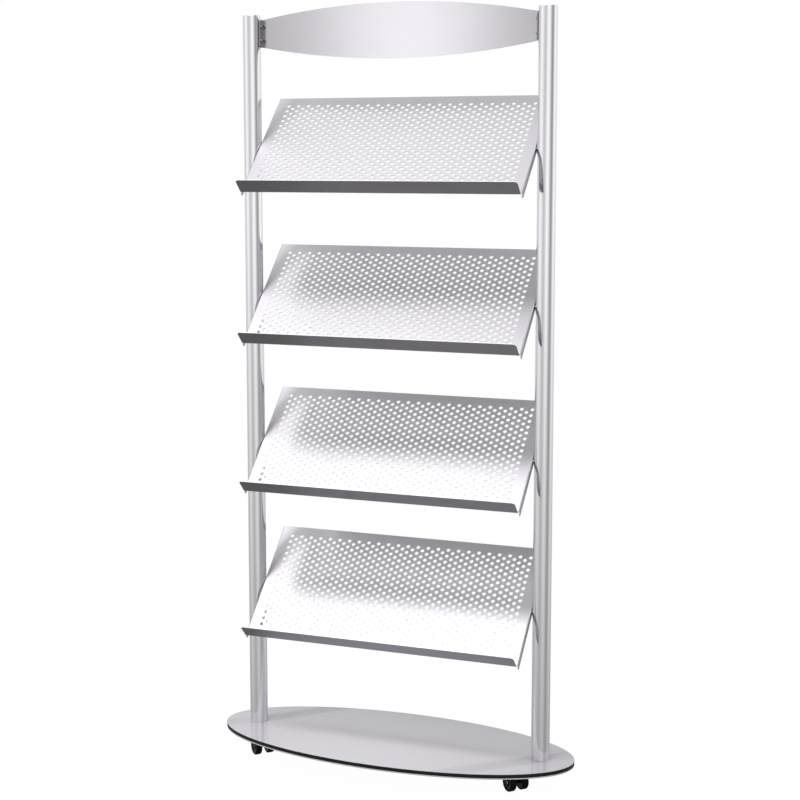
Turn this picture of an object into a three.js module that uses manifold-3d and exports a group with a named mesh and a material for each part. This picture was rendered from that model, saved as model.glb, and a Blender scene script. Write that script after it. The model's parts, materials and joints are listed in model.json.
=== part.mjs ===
// Periodical display rack on castors: two round posts on an elliptical base carry four sloped
// shelves of folded sheet and a lens-shaped header.
// Millimetres, +Z up. The origin is on the floor under the middle of the base, and the front faces -Y.

import * as THREE from 'three';
import { mergeVertices } from 'three/addons/utils/BufferGeometryUtils.js';
import Module from 'manifold-3d';

const wasm = await Module();
wasm.setup();

// Clearances
const seatGap = 0.1; // between flat faces that are bonded or bolted together
const turnedGap = 0.3; // between pieces that meet at a slope or on a round face
const boreGap = 0.3; // round a pin, plug or screw, on the radius
const wheelSideGap = 1.5; // between a castor wheel and the web of its housing
const overrun = 1; // how far a cutting tool stands past a face, and a joined solid runs into the next

// Base
const baseLength = 824;
const baseDepth = 336;
const topSheetThickness = 1;
const coreThickness = 7.3;
const ballastThickness = 3;
const baseSegments = 72;

// Posts
const postFromBaseEnd = 74; // the post axes, inside the ends of the base
const postDiameter = 40;
const postWall = 3;
const postLength = 1600;
const postSegments = 32;
const capLength = 12;
const capRecess = 0.2; // the cap lies this far below the tube's end
const plugLength = 45;
const boltDiameter = 10;
const boltReach = 30; // thread inside the plug
const boltHeadAcrossFlats = 16;
const boltHeadHeight = 6.4;
const washerDiameter = 24;
const washerThickness = 2;
const nutBarWidth = 16;
const nutBarThickness = 5;
const nutBarEndGap = 2; // to the plug below and the cap above

// Shelves
const shelfCount = 4;
const topFoldBelowPostTop = 384; // the highest shelf's front fold
const bottomFoldAboveBase = 232; // the lowest shelf's front fold; the rest are spaced evenly
const foldBeforePosts = 105.4; // the front folds, in front of the post axes
const shelfSlope = 45; // degrees from the horizontal
const slopeLength = 291; // from the front fold to the back edge
const sheetThickness = 1.5;
const lipHeight = 38; // square to the slope
const lipCornerRadius = 7;
const lipCornerSegments = 4;
const lipInset = 1.5; // each end of the lip, from the shelf's side
const flangeDepth = 13; // the side flanges, square to the slope
const shelfScrewSpacing = 14; // along a side flange

// Header
const headerThickness = 2;
const headerFaceBehindPosts = 9; // the front face, behind the post axes
const headerFlangeDepth = 15; // the end flanges, bent forward from the front face
const headerEndTop = 10; // the upper and lower corners of the ends, below the top of the posts
const headerEndBottom = 69;
const headerRiseTop = 30; // how far the upper and lower edges bow out in the middle
const headerRiseBottom = 29.5;
const headerArcSegments = 20;
const headerScrewSpacing = 30;

// Screws of the shelves and the header
const screwDiameter = 5;
const screwHeadDiameter = 9.5;
const screwHeadHeight = 2.7;
const screwCrown = [[0.6, 1], [0.9, 0.55]]; // the head's outline, in shares of radius and height
const screwSocketAcrossFlats = 3;
const screwSocketDepth = 1.6;
const screwPastNutBar = 1; // how far the tip stands through the nut bar
const screwSegments = 8;

// Castors
const castorFromPost = 35; // the swivel axes, inside the post axes
const castorSpacingDeep = 87; // between the front and the back swivel axes
const castorTurn = 47; // degrees, the axle's direction in plan as the castors stand
const castorTrail = 12.5; // the axle, behind the swivel axis
const wheelDiameter = 40;
const wheelWidth = 14.4;
const wheelEdge = 2.5; // the bevel at the edges of the tread
const wheelRimWidth = 3.5;
const wheelDishDepth = 1.5;
const wheelHubDiameter = 13;
const wheelSegments = 18;
const axleDiameter = 6;
const axleEndInset = 1; // the axle's end, inside the wheel's outer face
const axleLugRadius = 6; // of the housing's web round the axle
const webWidth = 12.6;
const hoodGap = 1; // between the hood and the tread
const hoodWall = 2;
const hoodStart = 25; // degrees above the level of the axle, where the hood begins and ends
const hoodSegments = 12;
const bossDiameter = 23;
const bossRise = 6.6; // the boss, above the hood
const stemCollarDiameter = 20;
const stemCollarThickness = 2.5;
const stemPinDiameter = 9;
const stemPinLength = 18;
const stemThreadDiameter = 8;
const stemBelowTopSheet = 1.6; // the end of the stem's thread, below the top sheet
const roundSegments = 16; // stems, axles, bolts and their holes

// Heights and places that follow from the sizes above
const axleHeight = wheelDiameter / 2;
const hoodRadius = wheelDiameter / 2 + hoodGap;
const housingTop = axleHeight + hoodRadius + hoodWall + bossRise;
const collarBottom = housingTop + turnedGap;
const collarTop = collarBottom + stemCollarThickness;
const ballastBottom = collarTop + seatGap;
const coreBottom = ballastBottom + ballastThickness + seatGap;
const topSheetBottom = coreBottom + coreThickness + seatGap;
const baseTop = topSheetBottom + topSheetThickness;
const postBottom = baseTop + seatGap;
const postTop = postBottom + postLength;
const postSpacing = baseLength - 2 * postFromBaseEnd;
const postRadius = postDiameter / 2;
const postBore = postRadius - postWall;
const halfSpan = postSpacing / 2 - postRadius - turnedGap; // from the middle to a shelf's side
const slopeAngle = THREE.MathUtils.degToRad(shelfSlope);
const wheelOffset = (webWidth + wheelWidth) / 2 + wheelSideGap;
const castorHalfWidth = wheelOffset + wheelWidth / 2;
const sides = { left: -1, right: 1 };

// Materials
const finish = (color, roughness, metalness) =>
  new THREE.MeshStandardMaterial({ color, roughness, metalness });
const polishedAluminium = finish(0xd2d2d6, 0.12, 1);
const satinSheet = finish(0xc4c4c8, 0.3, 1);
const baseDecor = finish(0xc8c7cc, 0.12, 0.1);
const blackBoard = finish(0x141416, 0.45, 0);
const paleSteel = finish(0xc0c0c2, 0.4, 0.4);
const zincSteel = finish(0xa8a9ac, 0.35, 1);
const capPlastic = finish(0x9b9ca0, 0.4, 0);
const castorPlastic = finish(0x0f0f11, 0.4, 0);
const treadRubber = finish(0x18181a, 0.55, 0);

// A geometry as a solid for cutting and joining
function solidOf(geometry) {
  const bare = geometry.clone();
  bare.deleteAttribute('normal');
  bare.deleteAttribute('uv');
  const merged = mergeVertices(bare, 1e-4);
  const corners = merged.index.array;
  const kept = [];
  for (let i = 0; i < corners.length; i += 3) {
    const triangle = [...corners.slice(i, i + 3)];
    if (new Set(triangle).size === 3) kept.push(...triangle); // a lathe folds some flat on its axis
  }
  const mesh = new wasm.Mesh({
    numProp: 3,
    vertProperties: new Float32Array(merged.attributes.position.array),
    triVerts: new Uint32Array(kept),
  });
  return new wasm.Manifold(mesh);
}

// A solid as a geometry again
function geometryOf(solid) {
  const mesh = solid.getMesh();
  const geometry = new THREE.BufferGeometry();
  geometry.setAttribute('position', new THREE.BufferAttribute(mesh.vertProperties, 3));
  geometry.setIndex(new THREE.BufferAttribute(mesh.triVerts, 1));
  geometry.computeVertexNormals();
  return geometry;
}

function cut(geometry, tools) {
  let solid = solidOf(geometry);
  for (const tool of tools) solid = solid.subtract(solidOf(tool));
  return geometryOf(solid);
}

function join(geometries) {
  let solid = solidOf(geometries[0]);
  for (const geometry of geometries.slice(1)) solid = solid.add(solidOf(geometry));
  return geometryOf(solid);
}

// A round bar along Z between two heights
function barZ(radius, zLow, zHigh, segments = roundSegments) {
  const bar = new THREE.CylinderGeometry(radius, radius, zHigh - zLow, segments);
  return bar.rotateX(Math.PI / 2).translate(0, 0, (zLow + zHigh) / 2);
}

// A round bar along X between two ends, given in either order
function barX(radius, xStart, xEnd, segments = roundSegments) {
  const bar = new THREE.CylinderGeometry(radius, radius, Math.abs(xEnd - xStart), segments);
  return bar.rotateZ(Math.PI / 2).translate((xStart + xEnd) / 2, 0, 0);
}

// A hexagonal bar along Z between two heights
function hexBarZ(acrossFlats, zLow, zHigh) {
  return barZ(acrossFlats / Math.sqrt(3), zLow, zHigh, 6);
}

// A block between two faces on each axis, given in either order
function block([x1, x2], [y1, y2], [z1, z2]) {
  const cuboid = new THREE.BoxGeometry(Math.abs(x2 - x1), Math.abs(y2 - y1), Math.abs(z2 - z1));
  return cuboid.translate((x1 + x2) / 2, (y1 + y2) / 2, (z1 + z2) / 2);
}

// A ring turned about Z, from a closed outline of [radius, height] points, counter-clockwise
function turnedRing(outline, segments) {
  const points = [...outline, outline[0]].map(([r, z]) => new THREE.Vector2(r, z));
  return new THREE.LatheGeometry(points, segments).rotateX(Math.PI / 2);
}

// An outline in X and Z, extruded from the face y = front to y = back
function uprightSheet(outline, front, back, curveSegments) {
  const settings = { depth: back - front, bevelEnabled: false, curveSegments };
  return new THREE.ExtrudeGeometry(outline, settings).rotateX(Math.PI / 2).translate(0, back, 0);
}

const rack = new THREE.Group();

function place(parent, name, geometry, material) {
  const mesh = new THREE.Mesh(geometry, material);
  mesh.name = name;
  parent.add(mesh);
  return mesh;
}

// Where the posts and the castors stand
const postPoints = Object.values(sides).map((side) => [(side * postSpacing) / 2, 0]);
const castorPoints = {};
for (const [sideName, side] of Object.entries(sides)) {
  for (const [endName, end] of Object.entries({ front: -1, back: 1 })) {
    const x = side * (postSpacing / 2 - castorFromPost);
    castorPoints[`${endName}_${sideName}`] = [x, (end * castorSpacingDeep) / 2];
  }
}

// Base: decor sheet, black core and ballast plate, all of one elliptical outline
function basePlate(zLow, thickness, holes) {
  const outline = new THREE.Shape();
  outline.absellipse(0, 0, baseLength / 2, baseDepth / 2, 0, 2 * Math.PI);
  const settings = { depth: thickness, bevelEnabled: false, curveSegments: baseSegments / 2 };
  const plate = new THREE.ExtrudeGeometry(outline, settings).translate(0, 0, zLow);
  const tools = holes.map(([x, y, radius]) => {
    return barZ(radius, zLow - overrun, zLow + thickness + overrun).translate(x, y, 0);
  });
  return cut(plate, tools);
}

const boltHole = boltDiameter / 2 + boreGap;
const stemHole = stemThreadDiameter / 2 + boreGap;
const boltHoles = postPoints.map(([x, y]) => [x, y, boltHole]);
const allHoles = [...boltHoles, ...Object.values(castorPoints).map(([x, y]) => [x, y, stemHole])];
place(rack, 'base_top_sheet', basePlate(topSheetBottom, topSheetThickness, boltHoles), baseDecor);
place(rack, 'base_core', basePlate(coreBottom, coreThickness, allHoles), blackBoard);
place(rack, 'base_ballast_plate', basePlate(ballastBottom, ballastThickness, allHoles), paleSteel);

// Where the screws go, the same at both posts: two in each shelf's side flange and header's end flange
const topFold = postTop - topFoldBelowPostTop;
const shelfPitch = (topFold - baseTop - bottomFoldAboveBase) / (shelfCount - 1);
const foldHeights = Array.from({ length: shelfCount }, (_, i) => topFold - i * shelfPitch);
const flangeMiddle = sheetThickness - flangeDepth / 2; // square to the slope, from the sheet's underside
const slopeAtPost = (foldBeforePosts + flangeMiddle * Math.sin(slopeAngle)) / Math.cos(slopeAngle);
const pair = { lower: -0.5, upper: 0.5 }; // a pair of screws, in shares of its spacing from its middle
const screwAlong = (end) => slopeAtPost + end * shelfScrewSpacing;
const headerMiddle = postTop - (headerEndTop + headerEndBottom) / 2;
const screwPlaces = [];
for (const [level, end] of Object.entries(pair)) {
  foldHeights.forEach((foldHeight, i) => {
    const along = screwAlong(end);
    screwPlaces.push({
      name: `shelf_${i + 1}_screw_${level}`,
      y: -foldBeforePosts + along * Math.cos(slopeAngle) - flangeMiddle * Math.sin(slopeAngle),
      z: foldHeight + along * Math.sin(slopeAngle) + flangeMiddle * Math.cos(slopeAngle),
      plate: sheetThickness,
    });
  });
  screwPlaces.push({
    name: `header_screw_${level}`,
    y: 0,
    z: headerMiddle + end * headerScrewSpacing,
    plate: headerThickness,
  });
}
const screwHole = screwDiameter / 2 + boreGap;

function screwHoles(places, xStart, xEnd) {
  return places.map(({ y, z }) => barX(screwHole, xStart, xEnd, screwSegments).translate(0, y, z));
}

// Posts, and what is inside them. Distances count from a post's axis, inwards to the shelves.
const nutBarFace = Math.sqrt(postBore ** 2 - (nutBarWidth / 2) ** 2) - turnedGap;
const nutBarBack = nutBarFace - nutBarThickness;
const plugTop = postBottom + plugLength;
const capTop = postTop - capRecess;
const washerTop = ballastBottom - seatGap;
const boltHeadTop = washerTop - washerThickness - seatGap;

function postTube(inward) {
  const tube = turnedRing(
    [
      [postBore, postBottom],
      [postRadius, postBottom],
      [postRadius, postTop],
      [postBore, postTop],
    ],
    postSegments,
  );
  return cut(tube, screwHoles(screwPlaces, inward * nutBarBack, inward * (postRadius + overrun)));
}

function nutBar(inward) {
  const ends = [plugTop + nutBarEndGap, capTop - capLength - nutBarEndGap];
  const faces = [inward * nutBarBack, inward * nutBarFace];
  const bar = block(faces, [-nutBarWidth / 2, nutBarWidth / 2], ends);
  return cut(bar, screwHoles(screwPlaces, inward * (nutBarBack - overrun), inward * (nutBarFace + overrun)));
}

function postPlug() {
  const plug = barZ(postBore - boreGap, postBottom, plugTop, postSegments);
  return cut(plug, [barZ(boltHole, postBottom - overrun, postBottom + boltReach + overrun)]);
}

function postWasher() {
  const washer = barZ(washerDiameter / 2, washerTop - washerThickness, washerTop);
  return cut(washer, [barZ(boltHole, washerTop - washerThickness - overrun, washerTop + overrun)]);
}

function postBolt() {
  const head = hexBarZ(boltHeadAcrossFlats, boltHeadTop - boltHeadHeight, boltHeadTop);
  const shank = barZ(boltDiameter / 2, boltHeadTop - overrun, postBottom + boltReach);
  return join([head, shank]);
}

for (const [sideName, side] of Object.entries(sides)) {
  const post = new THREE.Group();
  post.position.x = (side * postSpacing) / 2;
  rack.add(post);
  place(post, `post_${sideName}`, postTube(-side), polishedAluminium);
  place(post, `post_nut_bar_${sideName}`, nutBar(-side), zincSteel);
  place(post, `post_plug_${sideName}`, postPlug(), zincSteel);
  const cap = barZ(postBore - boreGap, capTop - capLength, capTop, postSegments);
  place(post, `post_cap_${sideName}`, cap, capPlastic);
  place(post, `post_washer_${sideName}`, postWasher(), zincSteel);
  place(post, `post_bolt_${sideName}`, postBolt(), zincSteel);
}

// Shelves: a slope, a lip and two side flanges of one folded sheet.
// In a shelf's own frame +Y runs up the slope from the fold and +Z is square to it.
function shelfSheet() {
  const slope = block([-halfSpan, halfSpan], [0, slopeLength], [0, sheetThickness]);
  const lipHalf = halfSpan - lipInset;
  const cornerX = lipHalf - lipCornerRadius;
  const cornerZ = lipHeight - lipCornerRadius;
  const outline = new THREE.Shape();
  outline.moveTo(-lipHalf, 0);
  outline.lineTo(lipHalf, 0);
  outline.absarc(cornerX, cornerZ, lipCornerRadius, 0, Math.PI / 2);
  outline.absarc(-cornerX, cornerZ, lipCornerRadius, Math.PI / 2, Math.PI);
  outline.closePath();
  const lip = uprightSheet(outline, 0, sheetThickness, lipCornerSegments / 2);
  const flanges = Object.values(sides).map((side) => {
    const faces = [side * (halfSpan - sheetThickness), side * halfSpan];
    return block(faces, [0, slopeLength], [sheetThickness - flangeDepth, sheetThickness]);
  });
  const holes = Object.values(pair).map((end) => ({ y: screwAlong(end), z: flangeMiddle }));
  return cut(join([slope, lip, ...flanges]), screwHoles(holes, -halfSpan - overrun, halfSpan + overrun));
}

foldHeights.forEach((foldHeight, i) => {
  const shelf = place(rack, `shelf_${i + 1}`, shelfSheet(), satinSheet);
  shelf.position.set(0, -foldBeforePosts, foldHeight);
  shelf.rotation.x = slopeAngle;
});

// Header: a lens-shaped sheet, with a flange at each end that lies on the post
function headerEdge(rise, endHeight, direction) {
  const radius = (halfSpan ** 2 + rise ** 2) / (2 * rise);
  const reach = Math.asin(halfSpan / radius);
  return Array.from({ length: headerArcSegments + 1 }, (_, i) => {
    const turn = reach * ((2 * i) / headerArcSegments - 1);
    const bow = rise - radius * (1 - Math.cos(turn));
    return new THREE.Vector2(radius * Math.sin(turn), endHeight + direction * bow);
  });
}

function headerPanel() {
  const heights = [postTop - headerEndBottom, postTop - headerEndTop];
  const lower = headerEdge(headerRiseBottom, heights[0], -1);
  const upper = headerEdge(headerRiseTop, heights[1], 1).reverse();
  const back = headerFaceBehindPosts + headerThickness;
  const sheet = uprightSheet(new THREE.Shape([...lower, ...upper]), headerFaceBehindPosts, back);
  const flanges = Object.values(sides).map((side) => {
    const faces = [side * (halfSpan - headerThickness), side * halfSpan];
    return block(faces, [headerFaceBehindPosts - headerFlangeDepth, back], heights);
  });
  const places = screwPlaces.filter(({ name }) => name.startsWith('header'));
  return cut(join([sheet, ...flanges]), screwHoles(places, -halfSpan - overrun, halfSpan + overrun));
}

place(rack, 'header_panel', headerPanel(), satinSheet);

// Screws: a button head with a hexagon socket. The head's seat is at z = 0 and the shank runs down.
function buttonScrew(shankLength) {
  const crown = screwCrown.map(([r, z]) => [(r * screwHeadDiameter) / 2, z * screwHeadHeight]);
  const outline = [
    [0, -shankLength],
    [screwDiameter / 2, -shankLength],
    [screwDiameter / 2, 0],
    [screwHeadDiameter / 2, 0],
    ...crown.reverse(),
    [0, screwHeadHeight],
  ];
  const points = outline.map(([r, z]) => new THREE.Vector2(r, z));
  const body = new THREE.LatheGeometry(points, screwSegments).rotateX(Math.PI / 2);
  const socketFloor = screwHeadHeight - screwSocketDepth;
  return cut(body, [hexBarZ(screwSocketAcrossFlats, socketFloor, screwHeadHeight + overrun)]);
}

for (const [sideName, side] of Object.entries(sides)) {
  for (const { name, y, z, plate } of screwPlaces) {
    const seat = halfSpan - plate - turnedGap;
    const tip = postSpacing / 2 - nutBarBack + screwPastNutBar;
    const screw = place(rack, `${name}_${sideName}`, buttonScrew(tip - seat), zincSteel);
    screw.position.set(side * seat, y, z);
    screw.rotation.y = (-side * Math.PI) / 2; // the head faces the middle of the rack
  }
}

// Castors. In a castor's own frame the swivel axis is Z, and the axle runs along X and trails towards +Y.
function castorStem() {
  const thread = barZ(stemThreadDiameter / 2, collarTop - overrun, topSheetBottom - stemBelowTopSheet);
  const collar = barZ(stemCollarDiameter / 2, collarBottom, collarTop);
  const pin = barZ(stemPinDiameter / 2, collarBottom - stemPinLength, collarBottom + overrun);
  return join([thread, collar, pin]);
}

// An outline about the axle, in Y and Z, extruded to both sides of the middle
function aboutAxle(outline, halfWidth) {
  const settings = { depth: 2 * halfWidth, bevelEnabled: false, curveSegments: hoodSegments / 2 };
  const solid = new THREE.ExtrudeGeometry(outline, settings).translate(0, 0, -halfWidth);
  return solid.rotateX(Math.PI / 2).rotateZ(Math.PI / 2).translate(0, castorTrail, axleHeight);
}

// The housing is a web between the wheels, a boss round the stem and a hood over the wheels
function castorHousing() {
  const start = THREE.MathUtils.degToRad(hoodStart);
  const end = Math.PI - start;
  const hood = new THREE.Shape();
  hood.absarc(0, 0, hoodRadius + hoodWall, start, end);
  hood.absarc(0, 0, hoodRadius, end, start, true);
  hood.closePath();
  const web = new THREE.Shape();
  web.absarc(0, 0, hoodRadius + hoodWall, start, end);
  web.absarc(0, 0, axleLugRadius, end, 2 * Math.PI + start);
  web.closePath();
  const boss = barZ(bossDiameter / 2, axleHeight + hoodRadius / 2, housingTop);
  const wheelRooms = Object.values(sides).map((side) => {
    const ends = [(side * webWidth) / 2, side * (castorHalfWidth + overrun)];
    return barX(hoodRadius, ...ends, 2 * hoodSegments).translate(0, castorTrail, axleHeight);
  });
  const socketFloor = collarBottom - stemPinLength - turnedGap;
  const socket = barZ(stemPinDiameter / 2 + boreGap, socketFloor, housingTop + overrun);
  const past = webWidth / 2 + overrun;
  const axleHole = barX(axleDiameter / 2 + boreGap, -past, past).translate(0, castorTrail, axleHeight);
  const walls = [aboutAxle(hood, castorHalfWidth), aboutAxle(web, webWidth / 2), cut(boss, wheelRooms)];
  return cut(join(walls), [socket, axleHole]);
}

function castorAxle() {
  const half = castorHalfWidth - axleEndInset;
  return barX(axleDiameter / 2, -half, half).translate(0, castorTrail, axleHeight);
}

// A wheel stands on a flat of its tread, so the corners of the tread lie a little outside its radius
function castorWheel() {
  const halfFlat = Math.PI / wheelSegments;
  const tread = wheelDiameter / 2 / Math.cos(halfFlat);
  const half = wheelWidth / 2;
  const bore = axleDiameter / 2 + boreGap;
  const hub = wheelHubDiameter / 2;
  const rim = tread - wheelRimWidth;
  const wheel = turnedRing(
    [
      [bore, -half],
      [tread - wheelEdge, -half],
      [tread, -half + wheelEdge],
      [tread, half - wheelEdge],
      [tread - wheelEdge, half],
      [rim, half],
      [rim - wheelDishDepth, half - wheelDishDepth],
      [hub + wheelDishDepth, half - wheelDishDepth],
      [hub, half],
      [bore, half],
    ],
    wheelSegments,
  );
  const cornerDown = Math.PI / 2; // brings the ring's first corner to the floor
  return wheel.rotateY(Math.PI / 2).rotateX(cornerDown + halfFlat);
}

for (const [corner, [x, y]] of Object.entries(castorPoints)) {
  const castor = new THREE.Group();
  castor.position.set(x, y, 0);
  castor.rotation.z = THREE.MathUtils.degToRad(castorTurn);
  rack.add(castor);
  const name = `castor_${corner}`;
  place(castor, `${name}_stem`, castorStem(), zincSteel);
  place(castor, `${name}_housing`, castorHousing(), castorPlastic);
  place(castor, `${name}_axle`, castorAxle(), zincSteel);
  for (const [sideName, side] of Object.entries(sides)) {
    const wheel = place(castor, `${name}_wheel_${sideName}`, castorWheel(), treadRubber);
    wheel.position.set(side * wheelOffset, castorTrail, axleHeight);
    wheel.rotation.z = side < 0 ? Math.PI : 0; // the dished face looks outwards
  }
}

export default rack;
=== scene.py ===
import bpy
import bmesh
import json
from math import atan2, cos, pi, radians, sin, sqrt
from types import SimpleNamespace
from mathutils import Matrix, Vector
from mathutils.geometry import delaunay_2d_cdt


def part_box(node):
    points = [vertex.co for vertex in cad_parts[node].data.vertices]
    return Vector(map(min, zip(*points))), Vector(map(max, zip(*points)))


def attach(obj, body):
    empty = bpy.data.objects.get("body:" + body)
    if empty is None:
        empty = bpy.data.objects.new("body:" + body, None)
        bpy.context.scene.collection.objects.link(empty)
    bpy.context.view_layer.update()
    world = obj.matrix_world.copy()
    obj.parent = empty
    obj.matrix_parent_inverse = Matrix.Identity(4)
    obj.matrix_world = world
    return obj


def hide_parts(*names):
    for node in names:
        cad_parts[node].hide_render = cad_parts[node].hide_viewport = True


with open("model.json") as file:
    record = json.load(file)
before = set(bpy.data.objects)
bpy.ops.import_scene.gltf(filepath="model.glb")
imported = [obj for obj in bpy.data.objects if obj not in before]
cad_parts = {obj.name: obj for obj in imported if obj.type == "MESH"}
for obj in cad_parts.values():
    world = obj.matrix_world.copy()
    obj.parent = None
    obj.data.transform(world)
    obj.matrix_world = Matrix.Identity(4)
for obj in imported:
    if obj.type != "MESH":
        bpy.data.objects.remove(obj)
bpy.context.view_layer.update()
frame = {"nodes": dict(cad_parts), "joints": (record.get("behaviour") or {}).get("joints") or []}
scene = bpy.context.scene
mm = 0.001  # pieces are drawn in millimetres and stored in metres
sides = {"left": -1, "right": 1}
corners = ["front_left", "front_right", "back_left", "back_right"]
levels = ["lower", "upper"]  # of the two screws in a flange
shelfNumbers = range(1, 5)
jointNamed = {joint["name"]: joint for joint in frame["joints"]}


def boxOf(node):
    low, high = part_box(node)
    return low / mm, high / mm


def middleOf(node):
    low, high = boxOf(node)
    return (low + high) / 2


# camera

cameraLook = {
    "place": (1.31126, -3.30313, 1.3582),  # metres
    "rightOfFront": 21.473,  # degrees
    "downwards": 7.047,  # degrees
    "sensor": 36,
    "lens": 74.07,
    "shiftUp": -0.0505,
}


def addCamera(look):
    data = bpy.data.cameras.new("rackCamera")
    data.sensor_width = look["sensor"]
    data.lens = look["lens"]
    data.shift_y = look["shiftUp"]
    camera = bpy.data.objects.new("rackCamera", data)
    turn, dip = radians(look["rightOfFront"]), radians(look["downwards"])
    lookAlong = Vector((-sin(turn) * cos(dip), cos(turn) * cos(dip), -sin(dip)))
    camera.location = look["place"]
    camera.rotation_euler = lookAlong.to_track_quat("-Z", "Y").to_euler()
    scene.collection.objects.link(camera)
    scene.camera = camera


addCamera(cameraLook)
print("camera set")


# node helpers

def addNode(tree, kind, inputs=None, **settings):
    node = tree.nodes.new(kind)
    for name, value in settings.items():
        setattr(node, name, value)
    for name, value in (inputs or {}).items():
        if isinstance(value, bpy.types.NodeSocket):
            tree.links.new(value, node.inputs[name])
        else:
            node.inputs[name].default_value = value
    return node


def maths(tree, operation, *values, clamped=False):
    inputs = dict(enumerate(values))
    return addNode(tree, "ShaderNodeMath", inputs, operation=operation, use_clamp=clamped).outputs[0]


def add(tree, first, second, weight):  # first + second * weight
    return maths(tree, "MULTIPLY_ADD", second, weight, first)


def shareOf(tree, value, low=0, high=1, smooth=False):  # a range to 0..1
    curve = "SMOOTHSTEP" if smooth else "LINEAR"
    inputs = {"Value": value, "From Min": low, "From Max": high}
    return addNode(tree, "ShaderNodeMapRange", inputs, interpolation_type=curve).outputs["Result"]


def spread(tree, share, ends):  # 0..1 to a range
    inputs = {"Value": share, "To Min": ends[0], "To Max": ends[1]}
    return addNode(tree, "ShaderNodeMapRange", inputs).outputs["Result"]


def noise(tree, spot, scale, detail, **more):
    inputs = {"Vector": spot, "Scale": scale, "Detail": detail, **more}
    return addNode(tree, "ShaderNodeTexNoise", inputs).outputs["Fac"]


def onPiece(tree):
    return addNode(tree, "ShaderNodeTexCoord").outputs["Object"]


def openGroup(name, inputs):
    group = bpy.data.node_groups.new(name, "ShaderNodeTree")
    for label, value in inputs.items():
        socket = group.interface.new_socket(label, in_out="INPUT", socket_type="NodeSocketFloat")
        socket.default_value = value
    return group, group.nodes.new("NodeGroupInput").outputs


def closeGroup(group, results):
    for label in results:
        group.interface.new_socket(label, in_out="OUTPUT", socket_type="NodeSocketFloat")
    addNode(group, "NodeGroupOutput", results)
    return group


# effects that several finishes share

streakLook = {"fineDetail": 3, "fineRoughness": 0.7, "broadScale": 0.16, "broadDetail": 1}


def makeStreaks(look):  # long fine lines: drawing, brushing or shearing
    group, given = openGroup("streaks", {"Scale X": 900, "Scale Y": 900, "Scale Z": 5})
    scales = {axis: given[f"Scale {axis}"] for axis in "XYZ"}
    scale = addNode(group, "ShaderNodeCombineXYZ", scales).outputs[0]
    stretch = addNode(group, "ShaderNodeVectorMath", {0: onPiece(group), 1: scale}, operation="MULTIPLY")
    spot = stretch.outputs[0]
    fine = noise(group, spot, 1, look["fineDetail"], Roughness=look["fineRoughness"])
    broad = noise(group, spot, look["broadScale"], look["broadDetail"])
    return closeGroup(group, {"Fine": fine, "Broad": broad})


smudgeLook = {"detail": 3, "distortion": 0.3, "low": 0.2, "high": 0.8, "narrowing": 0.12}


def makeSmudges(look):  # soft patches: hand marks, cleaning wipes or mottling
    group, given = openGroup("smudges", {"Scale": 14, "Sharpness": 0.5})
    cloud = noise(group, onPiece(group), given["Scale"], look["detail"], Distortion=look["distortion"])
    nearer = maths(group, "MULTIPLY", given["Sharpness"], look["narrowing"])
    low = maths(group, "ADD", look["low"], nearer)
    high = maths(group, "SUBTRACT", look["high"], nearer)
    return closeGroup(group, {"Mask": shareOf(group, cloud, low, high, smooth=True)})


def makeSpeckle():  # flakes and fibres of one size
    group, given = openGroup("speckle", {"Scale": 1500, "Share": 0.3})
    cells = addNode(group, "ShaderNodeTexVoronoi", {"Vector": onPiece(group), "Scale": given["Scale"]})
    shade = addNode(group, "ShaderNodeSeparateColor", {"Color": cells.outputs["Color"]})
    least = maths(group, "SUBTRACT", 1, given["Share"])
    return closeGroup(group, {"Flakes": shareOf(group, shade.outputs["Red"], least)})


grainLook = {"detail": 2, "waveScale": 0.12, "waveDetail": 1}


def makeGrain(look):  # fine pebbled relief of satin metal, paint and moulded plastic
    group, given = openGroup("grain", {"Scale": 2200, "Waviness": 0.3})
    spot = onPiece(group)
    fine = noise(group, spot, given["Scale"], look["detail"])
    waveScale = maths(group, "MULTIPLY", given["Scale"], look["waveScale"])
    waves = noise(group, spot, waveScale, look["waveDetail"])
    return closeGroup(group, {"Height": add(group, fine, waves, given["Waviness"])})


dustLook = {"detail": 6, "upwardFrom": 0.2}


def makeDust(look):  # settles on faces that look upwards, in patches
    group, given = openGroup("dust", {"Amount": 0.4, "Scale": 120})
    normal = addNode(group, "ShaderNodeNewGeometry").outputs["Normal"]
    facing = addNode(group, "ShaderNodeSeparateXYZ", {0: normal}).outputs["Z"]
    upward = shareOf(group, facing, look["upwardFrom"], smooth=True)
    patches = noise(group, onPiece(group), given["Scale"], look["detail"])
    lying = maths(group, "MULTIPLY", upward, patches)
    return closeGroup(group, {"Mask": maths(group, "MULTIPLY", lying, given["Amount"], clamped=True)})


effects = {
    "streaks": makeStreaks(streakLook), "smudges": makeSmudges(smudgeLook), "speckle": makeSpeckle(),
    "grain": makeGrain(grainLook), "dust": makeDust(dustLook),
}
print("effects made:", ", ".join(effects))


# finish helpers

def useEffect(tree, name, values):
    return addNode(tree, "ShaderNodeGroup", values, node_tree=effects[name]).outputs


def startFinish(name, fixed):  # fixed: values that are the same all over
    material = bpy.data.materials.new(name)
    material.use_nodes = True
    shader = material.node_tree.nodes["Principled BSDF"]
    for label, value in fixed.items():
        shader.inputs[label].default_value = value
    return material, material.node_tree, shader


def blendColour(tree, mask, first, second, share=1):
    if share != 1:
        mask = maths(tree, "MULTIPLY", mask, share, clamped=True)
    mixer = addNode(tree, "ShaderNodeMix", data_type="RGBA")
    socketOf = {socket.identifier: socket for socket in mixer.inputs}
    tree.links.new(mask, socketOf["Factor_Float"])
    socketOf["A_Color"].default_value = (*first, 1)
    socketOf["B_Color"].default_value = (*second, 1)
    return next(socket for socket in mixer.outputs if socket.identifier == "Result_Color")


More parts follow.
